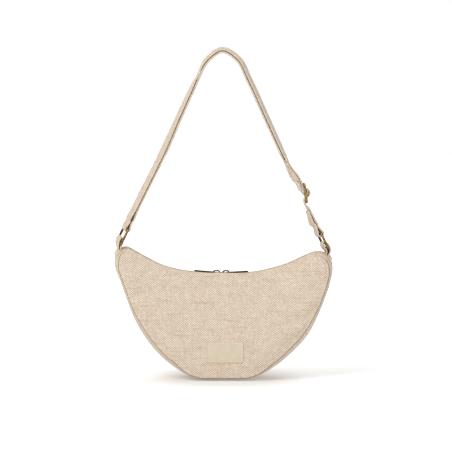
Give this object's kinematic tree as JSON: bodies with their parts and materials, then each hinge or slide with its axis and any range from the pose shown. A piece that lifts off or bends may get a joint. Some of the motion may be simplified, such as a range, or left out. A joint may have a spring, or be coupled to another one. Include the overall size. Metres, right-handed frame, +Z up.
{
  "type": "belt bag",
  "caption": "Half-moon canvas bag that stands on a flattened bottom, closed by a two-way zip and carried by a doubled, adjustable canvas strap on wire rings.",
  "frame": {"origin": "on the floor, under the middle of the bag", "axes": "+Z up, the front panel faces -Y, the adjuster is on the +X side"},
  "size_m": [0.2996, 0.0773, 0.4522],
  "materials": {
    "canvas": "coarse twill with flecks",
    "patch": "smooth, bare",
    "lining": "plain cotton",
    "zip_tape": "herringbone tape",
    "bronze": "dark bronze",
    "antique_brass": "aged"
  },
  "bodies": {
    "bag": {"front_panel": "canvas", "back_panel": "canvas", "gusset": "canvas", "lining_front": "lining", "lining_back": "lining", "lining_gusset": "lining", "patch": "patch", "zip_tape_front": "zip_tape", "zip_tape_back": "zip_tape", "zip_teeth_front": "bronze", "zip_teeth_back": "bronze", "zip_stop_left": "bronze", "zip_stop_right": "bronze"},
    "zipper_left": {"slider_left": "bronze"},
    "grip_left": {"pull_left": "bronze"},
    "zipper_right": {"slider_right": "bronze"},
    "grip_right": {"pull_right": "bronze"},
    "tabs": {"tab_left": "canvas", "tab_right": "canvas"},
    "loop_left": {"ring_left": "antique_brass"},
    "loop_right": {"ring_right": "antique_brass"},
    "band": {"strap": "canvas", "strap_sewn_end": "canvas", "strap_running_end": "canvas"},
    "buckle": {"adjuster": "antique_brass"}
  },
  "joints": [
    {"name": "zip_open_left", "type": "hinge", "parent": "bag", "child": "zipper_left", "pos_m": [0.002, 0, 0.4412], "axis": [0, 1, 0], "range_deg": [0, 18.4], "deforming": ["zip_teeth_front", "zip_teeth_back", "zip_tape_front", "zip_tape_back"]},
    {"name": "pull_lift_left", "type": "hinge", "parent": "zipper_left", "child": "grip_left", "pos_m": [-0.01147, 0, 0.14499], "axis": [0, 1, 0], "range_deg": [0, 95]},
    {"name": "zip_open_right", "type": "hinge", "parent": "bag", "child": "zipper_right", "pos_m": [0.002, 0, 0.4412], "axis": [0, 1, 0], "range_deg": [-18.2, 0], "deforming": ["zip_teeth_front", "zip_teeth_back", "zip_tape_front", "zip_tape_back"]},
    {"name": "pull_lift_right", "type": "hinge", "parent": "zipper_right", "child": "grip_right", "pos_m": [0.00658, 0, 0.14472], "axis": [0, -1, 0], "range_deg": [0, 95]},
    {"name": "strap_swing", "type": "hinge", "parent": "bag", "child": "tabs", "pos_m": [-0.14215, 0, 0.18104], "axis": [0.9996, 0, -0.0267], "range_deg": [-30, 30], "deforming": ["tab_left", "tab_right"]},
    {"name": "ring_sway_left", "type": "hinge", "parent": "tabs", "child": "loop_left", "pos_m": [-0.14215, 0, 0.18654], "axis": [-0.2178, 0.9703, 0.1053], "range_deg": [-8, 8]},
    {"name": "strap_sway", "type": "hinge", "parent": "loop_left", "child": "band", "pos_m": [-0.13266, 0, 0.20617], "axis": [-0.2178, 0.9703, 0.1053], "range_deg": [-9, 9]},
    {"name": "ring_sway_right", "type": "hinge", "parent": "tabs", "child": "loop_right", "pos_m": [0.14138, 0, 0.17896], "axis": [-0.1253, 0.9903, -0.0606], "range_deg": [-9, 9]},
    {"name": "adjuster_slide", "type": "slide", "parent": "band", "child": "buckle", "axis": [-0.516, 0, 0.8566], "range_m": [0, 0.03], "deforming": ["strap_sewn_end", "strap_running_end"]}
  ],
  "couplings": [
    {"joint": "strap_sway", "follows": "ring_sway_left", "ratio": -1.0727},
    {"joint": "ring_sway_right", "follows": "ring_sway_left", "ratio": 1.028}
  ]
}
